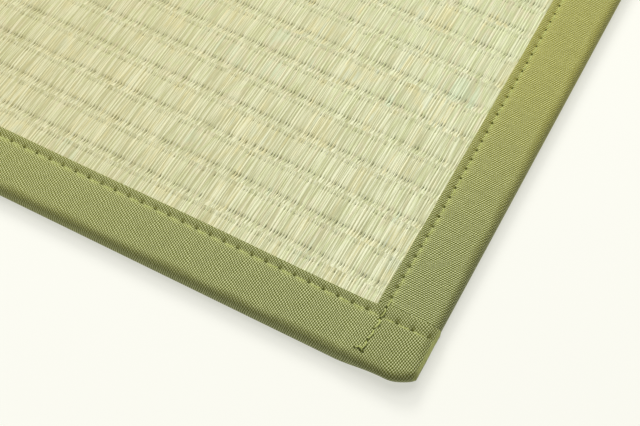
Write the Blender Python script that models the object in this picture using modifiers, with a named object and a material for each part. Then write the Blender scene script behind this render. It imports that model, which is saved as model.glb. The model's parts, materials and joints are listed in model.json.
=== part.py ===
"""A half-size tatami mat: a flat rush mat whose four sides are bound in folded cloth.

The mat lies on z = 0, with its origin under its middle. The ribs of the weave run along X and
its rushes along Y. The side bindings run along Y and reach under the ends of the front and back
bindings, which are folded down over the mat's corners.
"""

import math

import bmesh
import bpy
from mathutils import Matrix

# Driving sizes, in metres
MAT_SIDE = 0.820
MAT_THICKNESS = 0.0074
BINDING_WIDTH = 0.024
CLOTH = 0.001
CLEARANCE = 0.0003
EDGE_RADIUS = 0.003
CORNER_RADIUS = 0.005

# The weave: ribs at an even pitch, bowed towards the back in the mat's middle
RIB_PITCH = 0.015
FIRST_RIB = 0.0089
SECOND_WARP = 0.0044
RIB_CREST = 0.0097
ROW_SKEW = 0.018
BOW_REACH = 0.10
FIELD_TOP = 0.0063
STRONG_ROW_DEPTH = 0.0004
WEAK_ROW_DEPTH = 0.0002
BOW_COLUMNS = 5

# The corners, where a front or back binding lies over a side binding
SIDE_INSET = 0.0006
CORNER_RISE = 0.0005
OVERLAP_REACH = 0.0016
DIP_START = 0.0038
DIP_END = 0.0020
RISE_START = 0.0065
RISE_END = 0.0030
REACH_START = 0.0025
REACH_END = -0.0010
SIDE_CLOTH_END = 0.0055

# The bindings' small unevenness and the spacing of their cross-sections
LIP_WAVE = 0.00018
LIP_WAVELENGTH = 0.23
SECTION_SPACING = 0.055
EDGE_SEGMENTS = 3
CORNER_SEGMENTS = 4
SEAM_FROM_LIP = 0.0032
SEAM_DEPTH = 0.0001

# Sizes that follow from them
HALF_SIDE = MAT_SIDE / 2
LIP = HALF_SIDE - BINDING_WIDTH
REBATE = LIP - LIP_WAVE - CLEARANCE
FIELD_HALF = REBATE - CLEARANCE
SIDE_FACE = HALF_SIDE - SIDE_INSET
WRAP = CLOTH + CLEARANCE
COVERED_SIDE_FACE = HALF_SIDE - WRAP
CORE_SIDE = SIDE_FACE - WRAP
COVERED_CORE_SIDE = COVERED_SIDE_FACE - WRAP
CORE_TOP = MAT_THICKNESS - WRAP
CORE_EDGE = EDGE_RADIUS - WRAP
COVERED_TOP = MAT_THICKNESS + CORNER_RISE - WRAP
RIB_COUNT = int((2 * FIELD_HALF - FIRST_RIB) / RIB_PITCH) + 1

RUSH_COLOUR = (0.66, 0.66, 0.40, 1.0)
CLOTH_COLOUR = (0.24, 0.29, 0.085, 1.0)


def smooth_step(start, end, value):
    """Goes from 0 at start to 1 at end, level at both."""
    share = min(max((value - start) / (end - start), 0.0), 1.0)
    return share * share * (3.0 - 2.0 * share)


def row_bow(x):
    """How far a row of the weave lies behind its own ends, at x."""
    return ROW_SKEW * (math.hypot(FIELD_HALF, BOW_REACH) - math.hypot(x, BOW_REACH))


def lip_wave(along):
    """The small wander of a binding's inner edge."""
    turns = 2 * math.pi * along / LIP_WAVELENGTH
    return LIP_WAVE * (0.6 * math.sin(turns) + 0.4 * math.sin(2.3 * turns + 1.0))


def plain_material(name, colour, roughness):
    material = bpy.data.materials.new(name)
    material.use_nodes = True
    shader = material.node_tree.nodes["Principled BSDF"]
    shader.inputs["Base Color"].default_value = colour
    shader.inputs["Roughness"].default_value = roughness
    shader.inputs["Metallic"].default_value = 0.0
    material.diffuse_color = colour
    return material


def add_object(name, bm, material, collection):
    bmesh.ops.recalc_face_normals(bm, faces=bm.faces)
    mesh = bpy.data.meshes.new(name)
    bm.to_mesh(mesh)
    bm.free()
    mesh.materials.append(material)
    thing = bpy.data.objects.new(name, mesh)
    collection.objects.link(thing)
    return thing


# The rush mat, lofted through cross-sections from front to back

def field_stations():
    """The rows of the weave: each one's y at the mat's sides and its height."""
    rows = []
    for rib in range(RIB_COUNT):
        strong = -FIELD_HALF + FIRST_RIB + rib * RIB_PITCH
        rows.append((strong - SECOND_WARP, FIELD_TOP - WEAK_ROW_DEPTH))
        rows.append((strong, FIELD_TOP - STRONG_ROW_DEPTH))
        rows.append((strong + RIB_PITCH - RIB_CREST, FIELD_TOP))
    return rows[:-1]


def core_section(y, half_width, field_top, middle, side, bows):
    """One closed section of the mat, from its left edge over the top and back underneath.

    middle and side are the (bottom, top) heights of the thinned edge, between the side bindings
    and under them. Inside the thinned edge the mat is field_top high, and its underside is at 0,
    or level with the thinned edge where field_top is None.
    """
    side_bottom, side_top = side
    middle_bottom, middle_top = middle
    inner_top = middle_top if field_top is None else field_top
    inner_bottom = middle_bottom if field_top is None else 0.0
    chamfer = min(CORE_EDGE, (side_top - side_bottom) / 2 - CLEARANCE)
    right_top = [
        (REBATE, side_top),
        (half_width - chamfer, side_top),
        (half_width, side_top - chamfer),
    ]
    right_bottom = [
        (half_width, side_bottom + chamfer),
        (half_width - chamfer, side_bottom),
        (REBATE, side_bottom),
        (FIELD_HALF, inner_bottom),
    ]
    columns = [FIELD_HALF * (2 * i / (BOW_COLUMNS + 1) - 1) for i in range(BOW_COLUMNS + 2)]
    outline = [(-x, z) for x, z in reversed(right_top)]
    outline += [(x, inner_top) for x in columns]
    outline += right_top + right_bottom
    outline += [(-x, z) for x, z in reversed(right_bottom)]
    on_top = range(len(right_top), len(right_top) + len(columns))
    return [
        (x, y + (row_bow(x) if bows and i in on_top else 0.0), z)
        for i, (x, z) in enumerate(outline)
    ]


def core_end_rows():
    """The front end of the mat, as (distance from the mat's front, section's other values)."""
    edge = (WRAP, CORE_TOP)
    covered = (2 * WRAP, COVERED_TOP - WRAP)
    blunt = (EDGE_RADIUS, MAT_THICKNESS - EDGE_RADIUS)
    corner_width = HALF_SIDE - CORNER_RADIUS
    rounded_width = (corner_width + COVERED_CORE_SIDE) / 2
    from_front = HALF_SIDE - REBATE
    return [
        (WRAP, corner_width, None, blunt, blunt),
        (EDGE_RADIUS, rounded_width, None, edge, covered),
        (CORNER_RADIUS, COVERED_CORE_SIDE, None, edge, covered),
        (from_front, COVERED_CORE_SIDE, None, edge, covered),
        (from_front + CLEARANCE, COVERED_CORE_SIDE, FIELD_TOP, edge, covered),
        (BINDING_WIDTH + DIP_END + WRAP / 2, COVERED_CORE_SIDE, FIELD_TOP, edge, covered),
        (BINDING_WIDTH + DIP_START + WRAP / 3, CORE_SIDE, FIELD_TOP, edge, edge),
    ]


def make_rush_mat(material, collection):
    edge = (WRAP, CORE_TOP)
    ends = core_end_rows()
    sections = [
        core_section(distance - HALF_SIDE, width, top, middle, side, bows=False)
        for distance, width, top, middle, side in ends
    ]
    sections += [
        core_section(y, CORE_SIDE, height, edge, edge, bows=True)
        for y, height in field_stations()
    ]
    sections += [
        core_section(HALF_SIDE - distance, width, top, middle, side, bows=False)
        for distance, width, top, middle, side in reversed(ends)
    ]
    bm = bmesh.new()
    loops = [[bm.verts.new(point) for point in section] for section in sections]
    count = len(loops[0])
    for near, far in zip(loops, loops[1:]):
        for i in range(count):
            bm.faces.new((near[i], near[(i + 1) % count], far[(i + 1) % count], far[i]))
    bm.faces.new(loops[0])
    bm.faces.new(reversed(loops[-1]))
    return add_object("rush_mat", bm, material, collection)


# The bindings, each an open shell folded round the mat's edge and thickened inwards

def long_edges(bm, heights):
    """The shell's long outer edges and its ends' edges at the given heights."""
    return [
        edge for edge in bm.edges
        if all(min(abs(v.co.z - z) for z in heights) < CLEARANCE for v in edge.verts)
        and abs(edge.verts[0].co.z - edge.verts[1].co.z) < CLEARANCE
        and not edge.is_boundary
    ]


def binding_shell(half_length, face, closed_ends):
    """A binding's outer surface along X, on the mat's front side at y = -face."""
    bm = bmesh.new()
    bmesh.ops.create_cube(bm, size=1.0)
    width = face - LIP
    for vertex in bm.verts:
        vertex.co.x *= 2 * half_length
        vertex.co.y = vertex.co.y * width - LIP - width / 2
        vertex.co.z = (vertex.co.z + 0.5) * MAT_THICKNESS
    open_faces = [
        face for face in bm.faces
        if face.normal.y > 0.5 or (abs(face.normal.x) > 0.5 and not closed_ends)
    ]
    bmesh.ops.delete(bm, geom=open_faces, context="FACES_ONLY")
    if closed_ends:
        uprights = [
            edge for edge in bm.edges
            if abs(edge.verts[0].co.z - edge.verts[1].co.z) > CLEARANCE and not edge.is_boundary
        ]
        bmesh.ops.bevel(
            bm, geom=uprights, offset=CORNER_RADIUS, segments=CORNER_SEGMENTS,
            profile=0.5, affect="EDGES")
    bmesh.ops.bevel(
        bm, geom=long_edges(bm, (0.0, MAT_THICKNESS)), offset=EDGE_RADIUS,
        segments=EDGE_SEGMENTS, profile=0.5, affect="EDGES")
    return bm


def cut_across(bm, x):
    bmesh.ops.bisect_plane(
        bm, geom=list(bm.verts) + list(bm.edges) + list(bm.faces), dist=1e-6,
        plane_co=(x, 0, 0), plane_no=(1, 0, 0))


def cut_along(bm, y):
    bmesh.ops.bisect_plane(
        bm, geom=list(bm.verts) + list(bm.edges) + list(bm.faces), dist=1e-6,
        plane_co=(0, y, 0), plane_no=(0, 1, 0))


def cut_binding(bm, end_cuts):
    """Cuts the shell across at even steps and at its ends' own sections, and along its seam."""
    middle = LIP - 2 * DIP_START
    steps = round(2 * middle / SECTION_SPACING)
    places = [middle * (2 * i / steps - 1) for i in range(steps + 1)]
    places += [side * cut for cut in end_cuts for side in (-1, 1)]
    for x in sorted(places):
        cut_across(bm, x)
    cut_along(bm, -LIP - SEAM_FROM_LIP)
    cut_along(bm, -LIP - 2 * SEAM_FROM_LIP)


def shape_seam(bm):
    """Lets the lip wander a little and draws the cloth in along the seam, above and below."""
    for vertex in bm.verts:
        x, y, z = vertex.co
        if abs(y + LIP) < CLEARANCE:
            vertex.co.y += lip_wave(x)
        if abs(y + LIP + SEAM_FROM_LIP) < CLEARANCE and z > MAT_THICKNESS / 2:
            vertex.co.z -= SEAM_DEPTH


def thicken(thing):
    cloth = thing.modifiers.new("Cloth", "SOLIDIFY")
    cloth.thickness = CLOTH
    cloth.offset = -1.0
    cloth.use_even_offset = True
    thing.data.shade_smooth()
    thing.data.set_sharp_from_angle(angle=math.radians(50))


def make_side_binding(name, side, material, collection):
    """A side binding, whose two ends dip and draw in under the front and back bindings."""
    half_length = HALF_SIDE - SIDE_CLOTH_END
    bm = binding_shell(half_length, SIDE_FACE, closed_ends=False)
    cut_binding(bm, (LIP - DIP_START, LIP - (DIP_START + DIP_END) / 2, LIP - DIP_END))
    shape_seam(bm)
    covered_height = COVERED_TOP - WRAP
    for vertex in bm.verts:
        dip = smooth_step(LIP - DIP_START, LIP - DIP_END, abs(vertex.co.x))
        covered_z = WRAP + vertex.co.z / MAT_THICKNESS * covered_height
        vertex.co.z += dip * (covered_z - vertex.co.z)
        outer = smooth_step(LIP, SIDE_FACE, -vertex.co.y)
        vertex.co.y += dip * outer * (SIDE_FACE - COVERED_SIDE_FACE)
    bmesh.ops.rotate(
        bm, verts=bm.verts, cent=(0, 0, 0), matrix=Matrix.Rotation(side * math.pi / 2, 3, "Z"))
    thing = add_object(name, bm, material, collection)
    thicken(thing)
    return thing


def make_end_binding(name, turn, material, collection):
    """A front or back binding, whose two closed ends fold down over the mat's corners."""
    bm = binding_shell(HALF_SIDE, HALF_SIDE, closed_ends=True)
    rise_middle = (RISE_START + RISE_END) / 2
    cut_binding(bm, (LIP - RISE_START, LIP - rise_middle, LIP - RISE_END, LIP - REACH_END))
    shape_seam(bm)
    for vertex in bm.verts:
        across = abs(vertex.co.x)
        rise = smooth_step(LIP - RISE_START, LIP - RISE_END, across)
        reach = smooth_step(LIP - REACH_START, LIP - REACH_END, across)
        near_lip = 1.0 - smooth_step(LIP, LIP + 2 * SEAM_FROM_LIP, -vertex.co.y)
        near_lip *= smooth_step(0.0, MAT_THICKNESS, vertex.co.z)
        vertex.co.z += rise * CORNER_RISE * vertex.co.z / MAT_THICKNESS
        vertex.co.y += reach * near_lip * OVERLAP_REACH
    bmesh.ops.rotate(
        bm, verts=bm.verts, cent=(0, 0, 0), matrix=Matrix.Rotation(turn, 3, "Z"))
    thing = add_object(name, bm, material, collection)
    thicken(thing)
    return thing


def main():
    for thing in list(bpy.data.objects):
        bpy.data.objects.remove(thing, do_unlink=True)
    collection = bpy.data.collections.new("tatami_mat")
    bpy.context.scene.collection.children.link(collection)
    rush = plain_material("rush", RUSH_COLOUR, 0.65)
    cloth = plain_material("binding_cloth", CLOTH_COLOUR, 0.8)
    make_rush_mat(rush, collection)
    make_side_binding("binding_right", 1, cloth, collection)
    make_side_binding("binding_left", -1, cloth, collection)
    make_end_binding("binding_front", 0.0, cloth, collection)
    make_end_binding("binding_back", math.pi, cloth, collection)


main()
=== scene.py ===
# %% [markdown]
# # A bound tatami mat
#
# A summer tatami mat has two kinds of piece. The mat itself is soft rush, woven over paired
# warps that show as ribs across it. Four strips of green cloth are folded round its sides and
# sewn through. This lesson makes the weave with Geometry Nodes, lofts the folded cloth through
# cross-sections, and sews both with instanced stitches.
#
# The mat lies on z = 0 with its middle at the origin. The rushes run along Y, the ribs along X,
# and every size is in metres. The first cell loads the plain solids that the model has to match.

# %% Load the solids and hang them on their bodies
import json
import math

import bmesh
import bpy
import numpy as np
from mathutils import Matrix

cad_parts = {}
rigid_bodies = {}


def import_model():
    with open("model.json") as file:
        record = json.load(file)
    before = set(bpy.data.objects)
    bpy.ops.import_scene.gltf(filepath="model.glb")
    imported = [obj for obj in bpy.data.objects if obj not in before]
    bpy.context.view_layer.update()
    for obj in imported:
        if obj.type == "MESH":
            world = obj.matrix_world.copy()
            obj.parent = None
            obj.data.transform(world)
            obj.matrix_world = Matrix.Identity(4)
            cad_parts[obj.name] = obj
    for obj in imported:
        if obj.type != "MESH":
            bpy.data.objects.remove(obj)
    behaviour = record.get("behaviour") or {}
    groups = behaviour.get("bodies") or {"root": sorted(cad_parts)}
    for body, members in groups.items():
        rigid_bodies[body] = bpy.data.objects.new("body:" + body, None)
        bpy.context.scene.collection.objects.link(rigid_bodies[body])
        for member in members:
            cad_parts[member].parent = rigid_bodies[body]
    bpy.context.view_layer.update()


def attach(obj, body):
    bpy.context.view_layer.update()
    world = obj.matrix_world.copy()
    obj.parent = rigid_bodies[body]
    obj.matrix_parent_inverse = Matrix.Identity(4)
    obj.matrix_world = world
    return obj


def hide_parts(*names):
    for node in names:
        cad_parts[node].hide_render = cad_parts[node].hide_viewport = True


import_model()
scene = bpy.context.scene

# %% [markdown]
# ## Sizes that everything shares
#
# A tatami's spacing comes from its loom, so the ribs have one pitch all over the mat. The cloth
# has one width and one thickness. Sizes that several pieces need are named here once, and the
# others where they are first used.

# %% Shared sizes
HALF_SIDE = 0.410
THICKNESS = 0.0074
BINDING_WIDTH = 0.024
CLOTH = 0.001
LIP = HALF_SIDE - BINDING_WIDTH
SIDE_FACE = HALF_SIDE + 0.0002
WRAP = CLOTH + 0.0003
COVERED_SIDE_FACE = HALF_SIDE - WRAP
WEAVE_TOP = 0.0063
CORNER_RISE = 0.0005
OVERLAP_REACH = 0.0016
ROW_SKEW = 0.018
BOW_REACH = 0.10
LIP_WAVE = 0.00018
LIP_WAVELENGTH = 0.23


def smooth_step(start, end, value):
    """Goes from 0 at start to 1 at end, level at both."""
    share = np.clip((np.asarray(value, dtype=float) - start) / (end - start), 0.0, 1.0)
    return share * share * (3.0 - 2.0 * share)


def lip_wave(along):
    """The small wander of a binding's inner edge."""
    turns = 2 * math.pi * along / LIP_WAVELENGTH
    return LIP_WAVE * (0.6 * math.sin(turns) + 0.4 * math.sin(2.3 * turns + 1.0))


print("visible weave:", round(2 * LIP, 3), "m square, bindings", BINDING_WIDTH, "m wide")

# %% [markdown]
# ## A short way to write node trees
#
# Shaders and Geometry Nodes are both trees of nodes joined by links. Written out in full, one
# line of arithmetic takes four lines of code. This small class adds a node and fills its inputs
# in one call. An input may be a plain value or another node's output, so calls can be nested.

# %% Node tree helper
class Graph:
    """Adds nodes to one tree, each in a single call."""

    def __init__(self, tree):
        self.tree = tree

    def node(self, kind, inputs=None, **settings):
        made = self.tree.nodes.new(kind)
        for name, value in settings.items():
            setattr(made, name, value)
        for key, value in (inputs or {}).items():
            self.fill(self.socket(made.inputs, key), value)
        return made

    def out(self, kind, inputs=None, **settings):
        """Adds a node and gives its first output that is in use."""
        made = self.node(kind, inputs, **settings)
        return next(socket for socket in made.outputs if socket.enabled)

    def socket(self, sockets, key):
        if isinstance(key, int):
            return sockets[key]
        return next(socket for socket in sockets if socket.name == key and socket.enabled)

    def fill(self, socket, value):
        if isinstance(value, bpy.types.NodeSocket):
            self.tree.links.new(value, socket)
        else:
            socket.default_value = value

    def math(self, operation, *values):
        return self.out("ShaderNodeMath", dict(enumerate(values)), operation=operation)

    def plus(self, a, b):
        return self.math("ADD", a, b)

    def minus(self, a, b):
        return self.math("SUBTRACT", a, b)

    def times(self, a, b, more=None):
        """a times b, plus more where it is given."""
        return self.math("MULTIPLY", a, b) if more is None else self.math("MULTIPLY_ADD", a, b, more)

    def vector(self, x, y, z):
        return self.out("ShaderNodeCombineXYZ", {0: x, 1: y, 2: z})

    def noise(self, place, scale, detail, **inputs):
        """Soft noise around 0.5 in a space that place gives."""
        given = {"Vector": place, "Scale": scale, "Detail": detail, **inputs}
        return self.out("ShaderNodeTexNoise", given)

    def lerp(self, start, end, share):
        """start where share is 0 and end where it is 1."""
        return self.times(self.minus(end, start), share, start)

    def ease(self, value, start, end):
        """0 up to start, 1 from end on, and a soft S between them."""
        return self.out(
            "ShaderNodeMapRange",
            {"Value": value, "From Min": start, "From Max": end},
            interpolation_type="SMOOTHSTEP",
        )


def finish_material(name, build):
    """A new material whose Principled shader is filled in by build."""
    made = bpy.data.materials.new(name)
    made.use_nodes = True
    build(Graph(made.node_tree), made.node_tree.nodes["Principled BSDF"])
    return made


# %% [markdown]
# A few more helpers serve every finish: a point's place in the object's own frame, a number that
# the mesh carries under a name, a ramp of colours, a tint that moves one colour towards another,
# and the surface's roughness, shine and bump.

# %% Shader helpers
def shader_position(graph):
    """The object's own x, y and z in a shader."""
    place = graph.node("ShaderNodeTexCoord").outputs["Object"]
    return graph.node("ShaderNodeSeparateXYZ", {0: place}).outputs[:3]


def shader_value(graph, name):
    """A number that the mesh carries, read in a shader."""
    return graph.node("ShaderNodeAttribute", attribute_name=name).outputs["Fac"]


def fill_ramp(ramp, stops):
    """Fills a colour ramp with (place, colour) stops."""
    elements = ramp.color_ramp.elements
    while len(elements) < len(stops):
        elements.new(0.5)
    for element, (place, colour) in zip(elements, stops):
        element.position = place
        element.color = (*colour, 1.0)


def tinted(graph, colour, other, share, strength):
    """colour moved towards another one by share times strength."""
    given = {0: graph.times(share, strength), 6: colour, 7: (*other, 1.0)}
    return graph.node("ShaderNodeMix", given, data_type="RGBA").outputs[2]


def surface(graph, shader, colour, roughness, shine, height, strength, distance):
    """Fills in a finish: its colour, how matt and how shiny it is, and a bump by height."""
    graph.fill(shader.inputs["Base Color"], colour)
    shader.inputs["Roughness"].default_value = roughness
    shader.inputs["Specular IOR Level"].default_value = shine
    given = {"Height": height, "Strength": strength, "Distance": distance}
    graph.fill(shader.inputs["Normal"], graph.out("ShaderNodeBump", given))


# %% [markdown]
# ## The finish of the rushes
#
# Dried rush is smooth and a little waxy, so it has a soft shine along its length. Fresh tatami
# is a pale yellow-green, but no two rushes match: some are straw gold, a few pinkish brown or
# minty. Neighbours come from one bunch and look alike, but each band between two strong ribs
# shows only every other rush, so the colours lie in small blocks. One ramp holds the colours.
# The place on it is slow noise for the blocks, with a set of its own for each kind of band,
# noise that drifts along each rush, and a little chance for each stretch between two ribs.
#
# The fibres are noise that is long along Y and fine along X, with thin swaying streaks in it.
# They darken and lighten the rush. Painted shade darkens the valleys between rushes. Where two
# rushes part at a strong rib, shade falls into the opening, and a stored number paints that shade
# into those gaps. Fibres and the painted gap shade are tinted more faintly behind the front rows.
# That is a choice of looks, because the photo is softer there, and not a fact about the mat. Away
# from the side bindings a warmer, dimmer light is painted into the colour.

# %% Rush material
RUSH_COLOURS = (
    # place on the ramp, colour: mint, brownish, green straw, straw, warm straw, gold, pale mint
    (0.20, (0.600, 0.712, 0.478)),
    (0.32, (0.715, 0.660, 0.445)),
    (0.41, (0.632, 0.694, 0.372)),
    (0.50, (0.665, 0.700, 0.450)),
    (0.60, (0.700, 0.702, 0.450)),
    (0.69, (0.768, 0.706, 0.372)),
    (0.80, (0.672, 0.728, 0.526)),
)
DARK_FIBRE = (0.46, 0.46, 0.25)
PALE_FIBRE = (0.86, 0.87, 0.62)
# painted shade for the valleys and the gaps, and a painted warmer, dimmer light
PAINTED_VALLEY_SHADE = (0.34, 0.35, 0.18)
WARM_LIGHT_ON_RUSH = (0.53, 0.45, 0.20)
PAINTED_GAP_SHADE = (0.085, 0.096, 0.036)
FIBRE_STRETCH = 0.03
FIBRE_SCALE = 2300.0
STREAK_TURN = 5300.0
STREAK_SWAY = 20.0
SOFTER_BEHIND = (-0.355, -0.235)
WARM_LIGHT_FROM_SIDES = (0.39, 0.20)


def rush_tone(graph, x, y, rush, chance):
    """The place of a rush's colour on the ramp."""
    own = graph.vector(graph.times(rush, 3.71), graph.times(y, 9.0), 0.0)
    drift = graph.noise(own, 1.0, 1.0)
    band = graph.times(graph.math("FLOORED_MODULO", rush, 2.0), 5.0)
    wide = graph.vector(x, graph.times(y, 0.8), band)
    block = graph.noise(wide, 50.0, 2.0)
    tone = graph.times(drift, 0.30, graph.times(block, 0.70))
    tone = graph.times(chance, 0.06, graph.minus(tone, 0.03))
    return graph.times(tone, 2.0, -0.50)


def rush_fibre(graph, x, y, rush, chance):
    """Fibres along the rush, as a number around 0.5."""
    layer = graph.times(chance, 0.02, graph.times(rush, 0.001))
    place = graph.vector(x, graph.times(y, FIBRE_STRETCH), layer)
    fibre = graph.noise(place, FIBRE_SCALE, 1.5, Roughness=0.6)
    sway = graph.noise(place, 420.0, 0.0)
    turn = graph.times(x, STREAK_TURN, graph.times(sway, STREAK_SWAY))
    streak = graph.times(graph.math("SINE", turn), 0.075, 0.225)
    return graph.times(fibre, 0.55, streak)


def build_rush(graph, shader):
    x, y, z = shader_position(graph)
    names = ("rush", "chance", "valley", "gap")
    rush, chance, valley, gap = (shader_value(graph, name) for name in names)
    tone = rush_tone(graph, x, y, rush, chance)
    colours = graph.node("ShaderNodeValToRGB", {"Fac": tone})
    fill_ramp(colours, RUSH_COLOURS)
    colour = colours.outputs["Color"]

    fibre = rush_fibre(graph, x, y, rush, chance)
    behind = graph.ease(y, *SOFTER_BEHIND)
    fibre_strength = graph.lerp(0.82, 0.56, behind)
    gap_shade_strength = graph.lerp(0.97, 0.84, behind)
    dark = graph.ease(graph.minus(1.0, fibre), 0.45, 0.58)
    pale = graph.ease(fibre, 0.48, 0.60)
    # painted warmer, dimmer light away from the side bindings
    warm_light = graph.ease(graph.math("ABSOLUTE", x), *WARM_LIGHT_FROM_SIDES)
    colour = tinted(graph, colour, DARK_FIBRE, dark, fibre_strength)
    colour = tinted(graph, colour, PALE_FIBRE, pale, fibre_strength)
    # painted shade in the valleys between neighbouring rushes
    colour = tinted(graph, colour, PAINTED_VALLEY_SHADE, graph.ease(valley, 0.66, 1.0), 0.34)
    # painted shade where rushes part at the strong ribs
    colour = tinted(graph, colour, PAINTED_GAP_SHADE, graph.ease(gap, 0.60, 0.94), gap_shade_strength)
    colour = tinted(graph, colour, WARM_LIGHT_ON_RUSH, warm_light, 0.33)
    surface(graph, shader, colour, 0.65, 0.25, fibre, 0.5, 0.00012)


rush_finish = finish_material("rush_weave", build_rush)
print("material:", rush_finish.name)

# %% [markdown]
# ## The weave as a rule
#
# On the real mat each rush floats over one pair of warps, dives under the next and comes up
# again, and its neighbour does the opposite. Seen from above, one band shows every other rush,
# and the next band shows the rest, half a pitch aside. So the top of the weave is a height over
# a grid: two columns for each rush, a crest and a valley, which change places at each strong
# rib. Six rows make one repeat, placed where the surface turns: the strong rib, where rushes
# part and the gaps are deep, the swelling of the wide band, the weaker rib, and the narrow band.
#
# A grid with a rule is just what Geometry Nodes do well. The tree numbers the grid's columns and
# rows, looks up each row's place and heights, adds seeded unevenness, and stores what the
# material needs. The rows bow towards the back in the mat's middle, as the cloth beam drew them.

# %% Weave sizes
BREADTHS = 8
RUSHES_IN_BREADTH = 75
RUSHES = BREADTHS * RUSHES_IN_BREADTH
WEAVE_EDGE = 0.388
RUSH_PITCH = 2 * WEAVE_EDGE / RUSHES
RIB_PITCH = 0.015
FIRST_RIB = 0.0089
WEAVE_ROWS = 315
REPEATS_BEFORE = 2
ROW_TABLE = (
    # place after the strong rib, crest drop, valley drop, strength of the painted gap shade
    (0.0000, 0.00017, 0.00048, 1.00),
    (0.0015, 0.00003, 0.00019, 0.62),
    (0.0055, 0.00000, 0.00012, 0.00),
    (0.0090, 0.00003, 0.00015, 0.30),
    (0.0106, 0.00013, 0.00038, 0.90),
    (0.0123, 0.00005, 0.00012, 0.20),
)
ROWS_IN_REPEAT = len(ROW_TABLE)
print("one repeat of the weave:", RIB_PITCH, "m with", ROWS_IN_REPEAT, "rows")

# %% [markdown]
# The tree's inputs are named for a weaver: which rush a breadth starts at, how many it has, and
# how uneven they lie. Random numbers take the column's own number as their ID, so two breadths
# that share an edge agree about where it is.

# %% Weave tree
def named_input(tree, name, kind, value):
    socket = tree.interface.new_socket(name, in_out="INPUT", socket_type=kind)
    socket.default_value = value


def look_up(graph, index, values):
    """The value in a row of the table, chosen by a whole number."""
    switch = graph.node("GeometryNodeIndexSwitch", data_type="FLOAT")
    while len(switch.index_switch_items) < len(values):
        switch.index_switch_items.new()
    graph.fill(switch.inputs["Index"], index)
    for number, value in enumerate(values):
        graph.fill(switch.inputs[str(number)], value)
    return switch.outputs[0]


def chance_of(graph, identity, seed, low=-1.0, high=1.0):
    """A random number that belongs to a whole number."""
    return graph.out(
        "FunctionNodeRandomValue",
        {"Min": low, "Max": high, "ID": identity, "Seed": seed},
        data_type="FLOAT",
    )


def store(graph, mesh, name, value, domain, kind="FLOAT"):
    """Lets the mesh carry a value under a name."""
    return graph.out(
        "GeometryNodeStoreNamedAttribute",
        {"Geometry": mesh, "Name": name, "Value": value},
        data_type=kind,
        domain=domain,
    )


def stored(graph, name, kind="FLOAT"):
    """A value that the mesh carries under a name."""
    return graph.out("GeometryNodeInputNamedAttribute", {"Name": name}, data_type=kind)


def soft_noise(graph, x, y, scale, seed):
    """Slow noise over the mat, from -1 to 1."""
    return graph.times(graph.noise(graph.vector(x, y, seed), scale, 1.0), 4.0, -2.0)


def number_faces(graph, mesh, given, column, row):
    """Stores which rush and which band each face shows, and the chance of that stretch."""
    face_row = graph.plus(graph.math("FLOOR", row), 5.0)
    face_band = graph.math("FLOOR", graph.math("DIVIDE", face_row, ROWS_IN_REPEAT))
    odd_band = graph.math("FLOORED_MODULO", face_band, 2.0)
    own_column = graph.minus(graph.math("FLOOR", column), odd_band)
    half = graph.minus(given["Rushes"], 0.5)
    inside = graph.math("COMPARE", own_column, half, given["Rushes"])
    face_column = graph.math("FLOOR", column)
    face_column = graph.times(given["First rush"], 2.0, face_column)
    pair = graph.math("DIVIDE", graph.plus(face_column, odd_band), 2.0)
    rush = graph.math("FLOOR", pair)
    stretch = graph.times(face_band, 1000.0, rush)
    chance = chance_of(graph, stretch, given["Seed"], 0.0, 1.0)
    mesh = store(graph, mesh, "inside", inside, "FACE")
    mesh = store(graph, mesh, "rush", graph.times(rush, 2.0, odd_band), "FACE")
    return store(graph, mesh, "chance", chance, "FACE")


def trim(graph, mesh):
    """Drops the next breadth's faces, and those that the straight front and back cut off."""
    position = graph.out("GeometryNodeInputPosition")
    face_y = graph.node("ShaderNodeSeparateXYZ", {0: position}).outputs[1]
    cut_off = graph.math("GREATER_THAN", graph.math("ABSOLUTE", face_y), WEAVE_EDGE - 1e-6)
    outside = graph.minus(1.0, stored(graph, "inside"))
    gone = graph.math("MAXIMUM", cut_off, outside)
    return graph.out(
        "GeometryNodeDeleteGeometry", {"Geometry": mesh, "Selection": gone}, domain="FACE")


def crease_valleys(graph, mesh):
    """A crease down every valley keeps neighbouring rushes apart."""
    crease = graph.math("GREATER_THAN", stored(graph, "valley"), 0.99)
    return graph.out(
        "GeometryNodeSetShadeSmooth",
        {"Geometry": mesh, "Selection": crease, "Shade Smooth": False},
        domain="EDGE",
    )


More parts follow.
